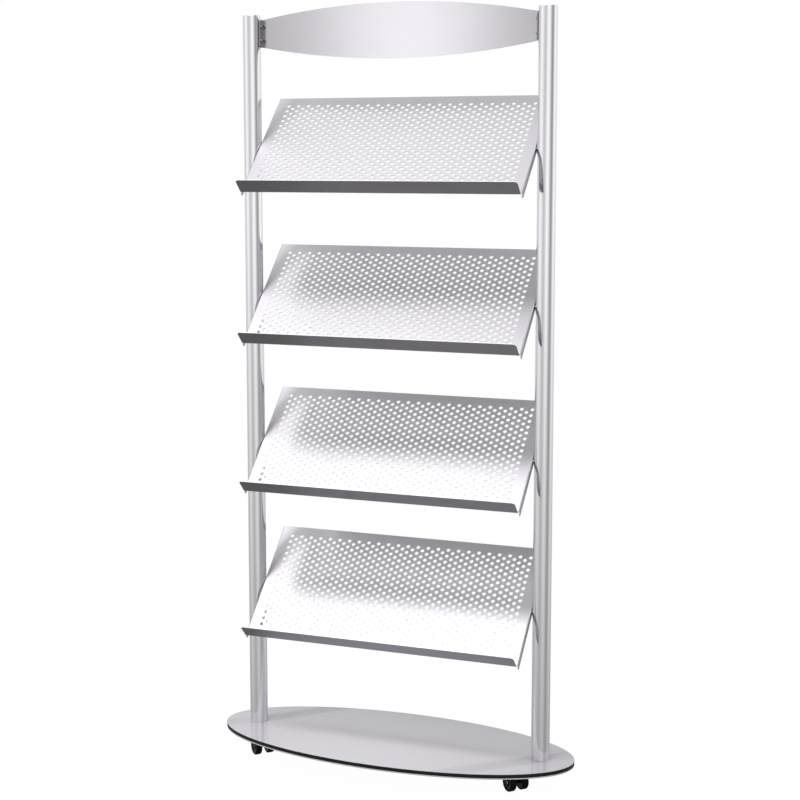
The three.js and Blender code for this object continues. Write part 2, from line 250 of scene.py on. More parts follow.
def finishWith(tree, shader, colour, roughness, height, look):
    tree.links.new(colour, shader.inputs["Base Color"])
    tree.links.new(roughness, shader.inputs["Roughness"])
    relief = {"Height": height, "Strength": look["relief"], "Distance": look["depth"]}
    tree.links.new(addNode(tree, "ShaderNodeBump", relief).outputs["Normal"], shader.inputs["Normal"])


# post metal: bright drawn aluminium, lines along the tube

aluminiumLook = {
    "bright": (0.905, 0.895, 0.925), "dull": (0.825, 0.815, 0.85), "roughness": (0.05, 0.11),
    "lines": {"Scale X": 1100, "Scale Y": 1100, "Scale Z": 4}, "marks": {"Scale": 11, "Sharpness": 0.4},
    "markRoughness": 0.02, "relief": 0.02, "depth": 0.0001,
}


def makePostFinish(look):
    material, tree, shader = startFinish("drawnAluminium", {"Metallic": 1.0})
    lines = useEffect(tree, "streaks", look["lines"])
    marks = useEffect(tree, "smudges", look["marks"])["Mask"]
    colour = blendColour(tree, lines["Broad"], look["dull"], look["bright"])
    wear = add(tree, spread(tree, lines["Fine"], look["roughness"]), marks, look["markRoughness"])
    finishWith(tree, shader, colour, wear, lines["Fine"], look)
    return material


# satin sheet, blasted and lightly brushed across; its tone differs by piece

satinLook = {
    "brush": {"Scale X": 14, "Scale Y": 1300, "Scale Z": 1300}, "marks": {"Scale": 9, "Sharpness": 0.5},
    "pebble": {"Scale": 2600, "Waviness": 0.2}, "brushTint": 0.4, "dullShare": 0.3, "brushRoughness": 0.03,
    "brushRelief": 0.8, "relief": 0.06, "depth": 0.0002,
}
satinTones = {
    "shelfSatin": {
        "bright": (0.465, 0.455, 0.480), "dull": (0.446, 0.437, 0.461), "roughness": (0.39, 0.40),
    },
    "headerSatin": {
        "bright": (0.552, 0.538, 0.570), "dull": (0.532, 0.518, 0.550), "roughness": (0.20, 0.205),
    },
    # a darker copy of the header's satin: painted shade on its bent ends and on its screws
    "paintedShadeSatin": {
        "bright": (0.335, 0.327, 0.346), "dull": (0.315, 0.307, 0.326), "roughness": (0.50, 0.52),
    },
}


def makeSatinFinish(name, look):
    tone = satinTones[name]
    material, tree, shader = startFinish(name, {"Metallic": 1.0})
    brush = useEffect(tree, "streaks", look["brush"])
    marks = useEffect(tree, "smudges", look["marks"])["Mask"]
    pebble = useEffect(tree, "grain", look["pebble"])["Height"]
    dulled = add(tree, marks, brush["Broad"], look["brushTint"])
    colour = blendColour(tree, dulled, tone["bright"], tone["dull"], look["dullShare"])
    wear = add(tree, spread(tree, marks, tone["roughness"]), brush["Fine"], look["brushRoughness"])
    height = add(tree, pebble, brush["Fine"], look["brushRelief"])
    finishWith(tree, shader, colour, wear, height, look)
    return material


# sheared edges and hole walls of the shelves, pale and unmetallic: painted light on walls that face down
# into shade

cutLook = {
    "bright": (0.86, 0.85, 0.87), "dull": (0.76, 0.75, 0.77), "roughness": (0.40, 0.55),
    "lines": {"Scale X": 1500, "Scale Y": 1500, "Scale Z": 300}, "relief": 0.2, "depth": 0.0002,
}


def makeCutFinish(look):
    material, tree, shader = startFinish("cutEdgePaintedLight", {"Metallic": 0.0})
    lines = useEffect(tree, "streaks", look["lines"])
    colour = blendColour(tree, lines["Fine"], look["dull"], look["bright"])
    wear = spread(tree, lines["Broad"], look["roughness"])
    finishWith(tree, shader, colour, wear, lines["Fine"], look)
    return material


# base decor: glossy laminate, fine metal flake under a clear coat

decorLook = {
    "ground": (0.190, 0.184, 0.199), "flake": (0.220, 0.213, 0.230), "roughness": (0.27, 0.30),
    "fixed": {"Specular IOR Level": 0.1, "Coat Weight": 0.9, "Coat Roughness": 0.035},
    "flakes": {"Scale": 1400, "Share": 0.35}, "flakeShare": 0.6,
    "wipes": {"Scale X": 9, "Scale Y": 70, "Scale Z": 70}, "pebble": {"Scale": 700, "Waviness": 0.5},
    "relief": 0.02, "depth": 0.0002,
}


def makeDecorFinish(look):
    material, tree, shader = startFinish("decorLaminate", look["fixed"])
    flakes = useEffect(tree, "speckle", look["flakes"])["Flakes"]
    wipes = useEffect(tree, "streaks", look["wipes"])["Fine"]
    pebble = useEffect(tree, "grain", look["pebble"])["Height"]
    colour = blendColour(tree, flakes, look["ground"], look["flake"], look["flakeShare"])
    finishWith(tree, shader, colour, spread(tree, wipes, look["roughness"]), pebble, look)
    return material


# base core: black compact board, fibres showing on the cut

boardLook = {
    "ground": (0.006, 0.006, 0.007), "fibre": (0.018, 0.017, 0.017), "roughness": (0.4, 0.5),
    "fixed": {"Specular IOR Level": 0.2}, "fibres": {"Scale": 1800, "Share": 0.2},
    "lines": {"Scale X": 60, "Scale Y": 60, "Scale Z": 2600}, "relief": 0.1, "depth": 0.0002,
}


def makeBoardFinish(look):
    material, tree, shader = startFinish("blackBoard", look["fixed"])
    fibres = useEffect(tree, "speckle", look["fibres"])["Flakes"]
    lines = useEffect(tree, "streaks", look["lines"])["Fine"]
    colour = blendColour(tree, fibres, look["ground"], look["fibre"])
    finishWith(tree, shader, colour, spread(tree, lines, look["roughness"]), lines, look)
    return material


# mottled finishes: powder coat with orange peel, zinc plating and grey moulded plastic

mottledLooks = {
    "powderCoat": {
        "ground": (0.432, 0.432, 0.439), "worn": (0.382, 0.382, 0.385), "roughness": (0.3, 0.42),
        "metallic": 0.0, "marks": {"Scale": 22, "Sharpness": 0.7}, "wornShare": 0.4,
        "pebble": {"Scale": 800, "Waviness": 0.6}, "relief": 0.2, "depth": 0.0004,
    },
    "zincPlate": {
        "ground": (0.66, 0.67, 0.68), "worn": (0.48, 0.49, 0.50), "roughness": (0.22, 0.42),
        "metallic": 1.0, "marks": {"Scale": 260, "Sharpness": 0.4}, "wornShare": 1,
        "pebble": {"Scale": 3200, "Waviness": 0.4}, "relief": 0.1, "depth": 0.0002,
    },
    "capPlastic": {
        "ground": (0.30, 0.305, 0.32), "worn": (0.36, 0.365, 0.38), "roughness": (0.38, 0.52),
        "metallic": 0.0, "marks": {"Scale": 60, "Sharpness": 0.5}, "wornShare": 1,
        "pebble": {"Scale": 2400, "Waviness": 0.3}, "relief": 0.25, "depth": 0.0003,
    },
}


def makeMottledFinish(name):
    look = mottledLooks[name]
    material, tree, shader = startFinish(name, {"Metallic": look["metallic"]})
    marks = useEffect(tree, "smudges", look["marks"])["Mask"]
    pebble = useEffect(tree, "grain", look["pebble"])["Height"]
    colour = blendColour(tree, marks, look["ground"], look["worn"], look["wornShare"])
    finishWith(tree, shader, colour, spread(tree, marks, look["roughness"]), pebble, look)
    return material


# castor nylon and tread rubber: both black, with a little dust on top

castorFinishLook = {
    "dust": (0.05, 0.048, 0.047), "lying": {"Amount": 0.09, "Scale": 150}, "dustRoughness": 0.3,
    "marks": {"Scale": 90, "Sharpness": 0.6}, "waviness": 0.4, "relief": 0.15, "depth": 0.0003,
}
castorTones = {
    "blackNylon": {
        "ground": (0.005, 0.005, 0.006), "roughness": (0.13, 0.22), "shine": 0.1, "grainScale": 2600,
    },
    "treadRubber": {
        "ground": (0.006, 0.006, 0.007), "roughness": (0.30, 0.45), "shine": 0.06, "grainScale": 1600,
    },
}


def makeCastorFinish(name, look):
    tone = castorTones[name]
    material, tree, shader = startFinish(name, {"Specular IOR Level": tone["shine"]})
    pebble = useEffect(tree, "grain", {"Scale": tone["grainScale"], "Waviness": look["waviness"]})["Height"]
    marks = useEffect(tree, "smudges", look["marks"])["Mask"]
    lying = useEffect(tree, "dust", look["lying"])["Mask"]
    colour = blendColour(tree, lying, tone["ground"], look["dust"])
    wear = add(tree, spread(tree, marks, tone["roughness"]), lying, look["dustRoughness"])
    finishWith(tree, shader, colour, wear, pebble, look)
    return material


aluminium = makePostFinish(aluminiumLook)
shelfSatin = makeSatinFinish("shelfSatin", satinLook)
headerSatin = makeSatinFinish("headerSatin", satinLook)
paintedShadeSatin = makeSatinFinish("paintedShadeSatin", satinLook)
cutEdgePaintedLight = makeCutFinish(cutLook)
decorLaminate = makeDecorFinish(decorLook)
blackBoard = makeBoardFinish(boardLook)
powderCoat = makeMottledFinish("powderCoat")
zincPlate = makeMottledFinish("zincPlate")
capPlastic = makeMottledFinish("capPlastic")
blackNylon = makeCastorFinish("blackNylon", castorFinishLook)
treadRubber = makeCastorFinish("treadRubber", castorFinishLook)
print("finishes made")


# mesh helpers

sharpest = 32  # degrees, past which an edge is shaded sharp


def aroundRing(k, count):  # angle of the k-th point of a ring
    return 2 * pi * k / count


def roundRing(radius, height, count):
    turns = [aroundRing(k, count) for k in range(count)]
    return [Vector((radius * cos(turn), radius * sin(turn), height)) for turn in turns]


def hexRing(acrossFlats, height, count, largest=None):  # largest: corners turned off at this radius
    ring = []
    for turn in (aroundRing(k, count) for k in range(count)):
        reach = acrossFlats / 2 / cos((turn + pi / 6) % (pi / 3) - pi / 6)
        reach = min(reach, largest or reach)
        ring.append(Vector((reach * cos(turn), reach * sin(turn), height)))
    return ring


def ovalRing(length, depth, inset, height, count):  # an ellipse, moved in square to its outline
    ring = []
    for turn in (aroundRing(k, count) for k in range(count)):
        spot = Vector((length / 2 * cos(turn), depth / 2 * sin(turn), height))
        outward = Vector((depth * cos(turn), length * sin(turn), 0)).normalized()
        ring.append(spot - inset * outward)
    return ring


def roundOver(radius, steps=3):  # (inset, drop) pairs from a flat face round to its side
    turns = [pi / 2 * i / steps for i in range(steps + 1)]
    return [(radius * (1 - sin(turn)), radius * (1 - cos(turn))) for turn in turns]


def softSide(low, high, lowEdge, highEdge, **more):  # (inset, height) pairs up a side with rounded edges
    start = [(inset, low + drop) for inset, drop in roundOver(lowEdge, **more)]
    return start + [(inset, high - drop) for inset, drop in reversed(roundOver(highEdge, **more))]


def turnedSide(radius, low, high, lowEdge, highEdge, **more):  # [radius, height] points of a round bar
    return [(radius - inset, height) for inset, height in softSide(low, high, lowEdge, highEdge, **more)]


def storeMesh(name, points, faces, finishes):
    mesh = bpy.data.meshes.new(name)
    mesh.from_pydata([point * mm for point in points], [], faces)
    for material in finishes:
        mesh.materials.append(material)
    whole = bmesh.new()
    whole.from_mesh(mesh)
    bmesh.ops.recalc_face_normals(whole, faces=whole.faces)
    whole.to_mesh(mesh)
    whole.free()
    mesh.shade_smooth()
    mesh.set_sharp_from_angle(angle=radians(sharpest))
    return mesh


def loft(name, rings, finishes, endless=False, bands=None):  # bands: finish of each step between rings
    count = len(rings[0])
    points = [point for ring in rings for point in ring]
    faces = []
    steps = len(rings) if endless else len(rings) - 1
    for i in range(steps):
        near, far = i * count, (i + 1) % len(rings) * count
        pairs = [(k, (k + 1) % count) for k in range(count)]
        faces += [(near + a, near + b, far + b, far + a) for a, b in pairs]
    if not endless:
        faces += [tuple(range(count))[::-1], tuple(range(len(points) - count, len(points)))]
    mesh = storeMesh(name, points, faces, finishes)
    for i, finish in enumerate(bands or []):
        for face in mesh.polygons[i * count:(i + 1) * count]:
            face.material_index = finish
    return mesh


def turned(name, outline, finishes, count, **more):  # outline: [radius, height] points
    rings = [roundRing(radius, height, count) for radius, height in outline]
    return loft(name, rings, finishes, **more)


def addPiece(name, mesh, body, nodes, place=None):
    piece = bpy.data.objects.new(name, mesh)
    scene.collection.objects.link(piece)
    if place is not None:
        piece.matrix_world = place
    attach(piece, body)
    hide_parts(*nodes)
    return piece


def softenShading(piece):
    weighted = piece.modifiers.new("softEdges", "WEIGHTED_NORMAL")
    weighted.keep_sharp = True


# base: decor sheet, black core and painted ballast plate

baseLook = {"outlineSides": 224, "decorEdge": 0.25, "coreEdge": 0.2, "plateEdge": 1.0}


def basePlate(name, node, edge, finish):
    low, high = boxOf(node)
    length, depth = high.x - low.x, high.y - low.y
    side = softSide(low.z, high.z, edge, edge)
    rings = [ovalRing(length, depth, inset, height, baseLook["outlineSides"]) for inset, height in side]
    piece = addPiece(name, loft(name, rings, [finish]), "rack", [node])
    softenShading(piece)
    return piece


decorSheet = basePlate("baseDecorSheet", "base_top_sheet", baseLook["decorEdge"], decorLaminate)
basePlate("baseBlackCore", "base_core", baseLook["coreEdge"], blackBoard)
basePlate("baseBallastPlate", "base_ballast_plate", baseLook["plateEdge"], powderCoat)
print("base made")


# posts: tube, cap, foot bolt and washer; the bar and plug inside keep their solids

def onAxis(node):  # placed on the node's own upright axis
    low, high = boxOf(node)
    return Matrix.Translation(((low.x + high.x) / 2 * mm, 0, 0))


def radiusOf(node):
    low, high = boxOf(node)
    return (high.x - low.x) / 2


tubeLook = {"wall": 3, "footEdge": 0.3, "topEdge": 0.8, "boreEdge": 0.4, "sides": 96}


def postTube(name, node):
    low, high = boxOf(node)
    radius = radiusOf(node)
    bore = radius - tubeLook["wall"]
    outline = turnedSide(radius, low.z, high.z, tubeLook["footEdge"], tubeLook["topEdge"])
    outline += [(bore + inset, high.z - drop) for inset, drop in roundOver(tubeLook["boreEdge"])]
    outline.append((bore, low.z))
    mesh = turned(name, outline, [aluminium], tubeLook["sides"], endless=True)
    softenShading(addPiece(name, mesh, "rack", [node], onAxis(node)))


capLook = {
    "footEdge": 0.5, "topEdge": 0.8, "sides": 64,
    "dishDepth": 0.5, "dishSlope": (0.80, 0.76),  # slopes are shares of the radius
    "middleRise": 0.25, "middleSlope": (0.12, 0.10),
}


def postCap(name, node):
    look = capLook
    low, high = boxOf(node)
    radius, dish = radiusOf(node), high.z - look["dishDepth"]
    outline = turnedSide(radius, low.z, high.z, look["footEdge"], look["topEdge"])
    rim, hollow = (share * radius for share in look["dishSlope"])
    foot, middle = (share * radius for share in look["middleSlope"])
    outline += [(rim, high.z), (hollow, dish), (foot, dish), (middle, dish + look["middleRise"])]
    mesh = turned(name, outline, [capPlastic], look["sides"])
    addPiece(name, mesh, "rack", [node], onAxis(node))


washerLook = {"bore": 5.3, "edge": 0.4, "sides": 64}


def footWasher(name, node):
    low, high = boxOf(node)
    edge, bore = washerLook["edge"], washerLook["bore"]
    outline = turnedSide(radiusOf(node), low.z, high.z, edge, edge) + [(bore, high.z), (bore, low.z)]
    mesh = turned(name, outline, [zincPlate], washerLook["sides"], endless=True)
    addPiece(name, mesh, "rack", [node], onAxis(node))


boltLook = {
    "flats": 16, "headHeight": 6.4, "radius": 5, "tip": 1, "sides": 48,
    "face": [(0.36, 0.4), (0.40, 0), (0.46, 0)],  # radius as a share of the flats, and height
    "cornerEnds": [(0.515, 0.5), (0.55, 1.1)],  # the corners turned off, in the same way
    "cornersFrom": 1.6, "cornersTo": 0.5,  # full corners, from the face and short of the seat
    "collar": 0.47, "collarHeight": 0.3,
}


def footBolt(name, node):
    look = boltLook
    low, high = boxOf(node)
    flats, radius, count = look["flats"], look["radius"], look["sides"]
    seat, collar = low.z + look["headHeight"], look["collar"] * flats
    rings = [roundRing(share * flats, low.z + rise, count) for share, rise in look["face"]]
    rings += [hexRing(flats, low.z + rise, count, share * flats) for share, rise in look["cornerEnds"]]
    full = (low.z + look["cornersFrom"], seat - look["cornersTo"])
    rings += [hexRing(flats, height, count) for height in full]
    shank = [(collar, seat - look["collarHeight"]), (collar, seat), (radius, seat)]
    shank += [(radius, high.z - look["tip"]), (radius - look["tip"], high.z)]
    rings += [roundRing(reach, height, count) for reach, height in shank]
    addPiece(name, loft(name, rings, [zincPlate]), "rack", [node], onAxis(node))


for sideName in sides:
    postTube(f"postTube.{sideName}", f"post_{sideName}")
    postCap(f"postCap.{sideName}", f"post_cap_{sideName}")
    footWasher(f"footWasher.{sideName}", f"post_washer_{sideName}")
    footBolt(f"footBolt.{sideName}", f"post_bolt_{sideName}")
    for hidden in ("post_nut_bar", "post_plug"):
        inner = frame["nodes"][f"{hidden}_{sideName}"].data
        inner.materials.clear()
        inner.materials.append(zincPlate)
print("posts made")


# folded sheets: a flat blank is cut, then each point is bent to its place

foldLook = {
    "probe": 0.01,  # mm into a hole, to find which way its wall faces
    "edgeOnMap": 1.0,  # mm that an outer edge's wall takes on the flat map
    "holeOnMap": 0.4,  # share of a hole's radius that its wall takes there
    "mapMargin": 6,  # mm
    "closest": 1e-5,  # mm, spots nearer than this are one
}


def cutBlank(outline, holes, bendLines):
    spots, edges, ringNumber = [], [], []
    for number, ring in enumerate([outline] + holes):
        first = len(spots)
        spots += ring
        edges += [(first + i, first + (i + 1) % len(ring)) for i in range(len(ring))]
        ringNumber += [number] * len(ring)
    for start, end in bendLines:
        edges.append((len(spots), len(spots) + 1))
        spots += [start, end]
        ringNumber += [0, 0]
    insideOnly = 1  # triangles inside the outline
    cut = delaunay_2d_cdt([Vector(spot) for spot in spots], edges, [], insideOnly, foldLook["closest"])
    cutSpots, _, faces, origins, *_ = cut
    rings = [max((ringNumber[i] for i in origin), default=0) for origin in origins]
    inHole = lambda face: rings[face[0]] > 0 and len({rings[i] for i in face}) == 1
    return cutSpots, [face for face in faces if not inHole(face)], rings


def rimOf(faces):  # edges with a face on one side only
    edges = [edge for face in faces for edge in zip(face, face[1:] + face[:1])]
    known = set(edges)
    return [(a, b) for a, b in edges if (b, a) not in known]


def roundBend(over, radius):  # how far a strip runs on and aside past a square bend's start, and its turn
    turn = min(over / radius, pi / 2)
    return radius * sin(turn), radius * (1 - cos(turn)) + max(over - radius * pi / 2, 0), turn


def foldSheet(name, blank, holeCentres, thickness, bend, finishes, blankWidth):
    spots, faces, rings = blank
    count = len(spots)
    bent = [bend(spot.x, spot.y) for spot in spots]  # middle of the sheet, and the way square to it
    points = [middle + square * thickness / 2 for middle, square in bent]
    points += [middle - square * thickness / 2 for middle, square in bent]
    facesUp = lambda a, b, c: (spots[b] - spots[a]).cross(spots[c] - spots[a]) > 0
    upper = [tuple(face) if facesUp(*face) else tuple(reversed(face)) for face in faces]
    lower = [tuple(count + i for i in reversed(face)) for face in upper]
    rim = rimOf(upper)
    walls = [(a, count + a, count + b, b) for a, b in rim]
    mesh = bpy.data.meshes.new(name)
    mesh.from_pydata([point * mm for point in points], [], upper + lower + walls)
    for material in finishes:
        mesh.materials.append(material)

    # the flat map has the upper face in its lower half and the underside in its upper half
    mapWidth = blankWidth + foldLook["mapMargin"]
    ends = [spot.y for spot in spots]
    centre = Vector((0, (max(ends) + min(ends)) / 2))
    onMap = lambda spot: (spot - centre + Vector((mapWidth / 2, mapWidth / 4))) / mapWidth
    underside = Vector((0, 0.5))
    normals, flatMap = [], []
    for face in upper:
        normals += [bent[i][1] for i in face]
        flatMap += [onMap(spots[i]) for i in face]
    for face in lower:
        normals += [-bent[i - count][1] for i in face]
        flatMap += [onMap(spots[i - count]) + underside for i in face]
    for (a, b), wall in zip(rim, walls):
        hole = holeCentres.get(rings[a]) if rings[a] == rings[b] else None
        flat = (points[count + a] - points[a]).cross(points[b] - points[a]).normalized()
        along = spots[b] - spots[a]
        for i in wall:
            spot = spots[i % count]
            if hole is None:
                normals.append(flat)
                aside = Vector((along.y, -along.x)).normalized() * foldLook["edgeOnMap"]
            else:
                inward = hole - spot
                probe = spot + inward.normalized() * foldLook["probe"]
                normals.append((bend(*probe)[0] - bend(*spot)[0]).normalized())
                aside = inward * foldLook["holeOnMap"]
            flatMap.append(onMap(spot + aside if i >= count else spot))
    mesh.shade_smooth()
    mesh.normals_split_custom_set(normals)
    layer = mesh.uv_layers.new(name="OFBake")
    layer.data.foreach_set("uv", [value for spot in flatMap for value in spot])
    for face in mesh.polygons[len(upper) + len(lower):]:
        face.material_index = 1
    return mesh


def circle(centre, radius, count):
    turns = [aroundRing(k, count) for k in range(count)]
    return [centre + Vector((radius * cos(turn), radius * sin(turn))) for turn in turns]


def arc(centre, radius, start, end, steps):  # degrees
    turns = [radians(start + (end - start) * i / steps) for i in range(steps + 1)]
    return [centre + Vector((radius * cos(turn), radius * sin(turn))) for turn in turns]


def numbered(centres):  # hole centres by their ring's number in the blank
    return {i + 1: centre for i, centre in enumerate(centres)}


# shelves: x across, y up the slope from the front fold, z square to it

shelfLook = {
    "sheet": 1.5, "slope": 45, "insideBend": 1.5, "bendSteps": 5,
    "lipHeight": 38, "lipInset": 1.5, "lipCorner": 7, "lipCornerSteps": 6,
    "flangeDepth": 13, "flangeCorner": 2, "flangeCornerSteps": 3,
    "relief": 4.2, "cornerDrop": 0.6, "gap": 0.1,  # cut-outs where lip and flange meet
    "holeDiameter": 8.5, "holeSides": 12, "holePitch": 24, "holesAcross": 25,
    "rows": 31, "rowPitch": 7.78, "topRow": 25,
    "screwHole": 5.6, "screwHoleSides": 16,
}


def shelfFold(number):  # the front fold's outer corner
    low = boxOf(f"shelf_{number}")[0]
    slope = radians(shelfLook["slope"])
    foldY = low.y + shelfLook["lipHeight"] * sin(slope)
    foldZ = low.z + (shelfLook["flangeDepth"] - shelfLook["sheet"]) * cos(slope)
    return Vector((0, foldY, foldZ))


def shelfSizes(look):
    low, high = boxOf("shelf_1")
    slope = radians(look["slope"])
    size = SimpleNamespace()
    size.bendRadius = look["insideBend"] + look["sheet"] / 2  # at the middle of the sheet
    size.bendLength = size.bendRadius * pi / 2
    size.length = (high.z - low.z - look["flangeDepth"] * cos(slope)) / sin(slope)  # up the slope
    size.lipStart = look["insideBend"] + look["sheet"]  # y where the lip's bend begins
    size.lipEdge = 2 * size.lipStart - size.bendLength - look["lipHeight"]
    size.lipHalf = high.x - look["lipInset"]
    size.sideStart = high.x - size.lipStart  # x where a flange's bend begins
    size.sideEnd = size.sideStart + size.bendLength
    size.flangeEdge = size.sideEnd + look["flangeDepth"] - size.lipStart
    return size


shelfSize = shelfSizes(shelfLook)


def bendShelf(u, v):
    size, half, gap = shelfSize, shelfLook["sheet"] / 2, shelfLook["gap"]
    side = 1 if u >= 0 else -1
    over = abs(u) - size.sideStart
    aboveLip = v > size.lipStart - shelfLook["cornerDrop"] + gap
    if over > 0 and aboveLip or abs(u) > size.lipHalf + gap:  # flange
        on, aside, turn = roundBend(over, size.bendRadius)
        middle = Vector((side * (size.sideStart + on), v, half - aside))
        return middle, Vector((side * sin(turn), 0, cos(turn)))
    over = size.lipStart - v
    if over > 0:  # lip
        on, aside, turn = roundBend(over, size.bendRadius)
        return Vector((u, size.lipStart - on, half + aside)), Vector((0, sin(turn), cos(turn)))
    return Vector((u, v, half)), Vector((0, 0, 1))


def shelfOutline(look, size):
    corner, small, gap = look["lipCorner"], look["flangeCorner"], look["gap"]
    smallSteps, flangeX = look["flangeCornerSteps"], size.flangeEdge - small
    lipCorner = Vector((size.lipHalf - corner, size.lipEdge + corner))
    right = arc(lipCorner, corner, -90, 0, look["lipCornerSteps"])
    right += [Vector(spot) for spot in (
        (size.lipHalf, size.lipStart - size.bendLength), (size.lipHalf, size.lipStart - look["cornerDrop"]),
        (size.sideStart, size.lipStart), (size.sideStart, look["relief"]),
        (size.sideEnd + gap, look["relief"]), (size.sideEnd + gap, gap),
    )]
    right += arc(Vector((flangeX, gap + small)), small, -90, 0, smallSteps)
    right += arc(Vector((flangeX, size.length - small)), small, 0, 90, smallSteps)
    right.append(Vector((size.sideStart, size.length)))
    return right + [Vector((-spot.x, spot.y)) for spot in reversed(right)]


def shelfBendLines(look, size):
    lines = []
    cornerSlope = (size.lipHalf - size.sideStart) / look["cornerDrop"]
    for i in range(look["bendSteps"] + 1):
        along = size.bendLength * i / look["bendSteps"]
        v, u = size.lipStart - along, size.sideStart + along
        reach = min(size.lipHalf, size.sideStart + along * cornerSlope)
        lines.append((Vector((-reach, v)), Vector((reach, v))))
        lines += [(Vector((s * u, look["relief"])), Vector((s * u, size.length))) for s in sides.values()]
    return lines


def shelfHoleCentres(look, size):
    centres = []
    for row in range(look["rows"]):
        v = size.length - look["topRow"] - row * look["rowPitch"]
        across = look["holesAcross"] - row % 2
        centres += [Vector(((i - (across - 1) / 2) * look["holePitch"], v)) for i in range(across)]
    return centres


def shelfScrewCentres(look, size):
    centres = []
    slope = radians(look["slope"])
    for level in levels:
        screw = middleOf(f"shelf_1_screw_{level}_right") - shelfFold(1)
        along = screw.y * cos(slope) + screw.z * sin(slope)
        below = screw.y * sin(slope) - screw.z * cos(slope)
        u = size.sideEnd + look["sheet"] - size.lipStart + below
        centres += [Vector((s * u, along)) for s in sides.values()]
    return centres


def shelfMesh(look, size):
    perforation, screws = shelfHoleCentres(look, size), shelfScrewCentres(look, size)
    holes = [circle(centre, look["holeDiameter"] / 2, look["holeSides"]) for centre in perforation]
    holes += [circle(centre, look["screwHole"] / 2, look["screwHoleSides"]) for centre in screws]
    blank = cutBlank(shelfOutline(look, size), holes, shelfBendLines(look, size))
    # the walls take the pale edge finish, painted light
    finishes = [shelfSatin, cutEdgePaintedLight]
    width = 2 * size.flangeEdge
    centreOf = numbered(perforation + screws)
    return foldSheet("perforatedShelf", blank, centreOf, look["sheet"], bendShelf, finishes, width)


shelf = shelfMesh(shelfLook, shelfSize)
for number in shelfNumbers:
    place = Matrix.Translation(shelfFold(number) * mm) @ Matrix.Rotation(radians(shelfLook["slope"]), 4, "X")
    addPiece(f"perforatedShelf.{number}", shelf, "rack", [f"shelf_{number}"], place)
print("shelves made:", len(shelf.polygons), "faces each")


# header: a lens of sheet, its ends bent forward along the posts

headerLook = {
    "sheet": 2, "insideBend": 1, "bendSteps": 5,
    "endTop": 10, "endBottom": 69,  # below the posts' tops
    "lowerRise": 29.5, "upperRise": 30, "arcSteps": 48,
    "flangeCorner": 4, "flangeCornerSteps": 4, "screwHole": 5.6, "screwHoleSides": 16,
}


def headerSizes(look):
    low, high = boxOf("header_panel")
    postTop = boxOf("post_left")[1].z
    start = look["insideBend"] + look["sheet"]  # from an outer face to where its bend begins
    size = SimpleNamespace()
    size.bendRadius = look["insideBend"] + look["sheet"] / 2  # at the middle of the sheet
    size.bendLength = size.bendRadius * pi / 2
    size.halfSpan = high.x
    size.middleY = high.y - look["sheet"] / 2
    size.bendY = high.y - start  # the bends' centres
    size.sideStart = high.x - start
    size.sideEnd = size.sideStart + size.bendLength
    size.flangeEdge = size.sideEnd + size.bendY - low.y
    size.endLow, size.endHigh = postTop - look["endBottom"], postTop - look["endTop"]
    return size


headerSize = headerSizes(headerLook)


def bendHeader(u, v):
    size = headerSize
    side = 1 if u >= 0 else -1
    over = abs(u) - size.sideStart
    if over <= 0:
        return Vector((u, size.middleY, v)), Vector((0, -1, 0))
    on, aside, turn = roundBend(over, size.bendRadius)
    middle = Vector((side * (size.sideStart + on), size.middleY - aside, v))
    return middle, Vector((-side * sin(turn), -cos(turn), 0))


def bow(rise, halfSpan, u):  # height of an arc over the header's span
    radius = (halfSpan ** 2 + rise ** 2) / (2 * rise)
    return rise - radius + sqrt(radius ** 2 - u ** 2)


def headerEdges(look, size, u):  # lower and upper edge, straight from a bend to its flange's corner
    share = max(abs(u) - size.sideStart, 0) / (size.flangeEdge - look["flangeCorner"] - size.sideStart)
    onLens = min(abs(u), size.sideStart)
    rises = (look["lowerRise"], look["upperRise"])
    down, up = (bow(rise, size.halfSpan, onLens) * (1 - share) for rise in rises)
    return Vector((u, size.endLow - down)), Vector((u, size.endHigh + up))


def headerOutline(look, size, folds):
    corner, steps = look["flangeCorner"], look["flangeCornerSteps"]
    x, low, high = size.flangeEdge - corner, size.endLow + corner, size.endHigh - corner
    across = [size.sideStart * (2 * i / look["arcSteps"] - 1) for i in range(1, look["arcSteps"])]
    across = sorted(across + folds)
    outline = [headerEdges(look, size, u)[0] for u in across]
    outline += arc(Vector((x, low)), corner, -90, 0, steps) + arc(Vector((x, high)), corner, 0, 90, steps)
    outline += [headerEdges(look, size, u)[1] for u in reversed(across)]
    outline += arc(Vector((-x, high)), corner, 90, 180, steps)
    return outline + arc(Vector((-x, low)), corner, 180, 270, steps)


def headerMesh(look, size):
    steps = [size.bendLength * i / look["bendSteps"] for i in range(look["bendSteps"] + 1)]
    folds = [s * (size.sideStart + step) for step in steps for s in sides.values()]
    centres = []
    for level in levels:
        screw = middleOf(f"header_screw_{level}_right")
        u = size.sideEnd + size.bendY - screw.y
        centres += [Vector((s * u, screw.z)) for s in sides.values()]
    holes = [circle(centre, look["screwHole"] / 2, look["screwHoleSides"]) for centre in centres]
    bendLines = [headerEdges(look, size, u) for u in folds]
    blank = cutBlank(headerOutline(look, size, folds), holes, bendLines)
    finishes = [headerSatin, paintedShadeSatin]
    width = 2 * size.flangeEdge
    mesh = foldSheet("headerLens", blank, numbered(centres), look["sheet"], bendHeader, finishes, width)
    for face in mesh.polygons:
        face.material_index = abs(face.center.x) > size.sideStart * mm  # painted shade: the ends take the darker copy of the satin
    return mesh


header = addPiece("headerLens", headerMesh(headerLook, headerSize), "rack", ["header_panel"])
print("header made")


# button-head screws, heads towards the middle of the rack

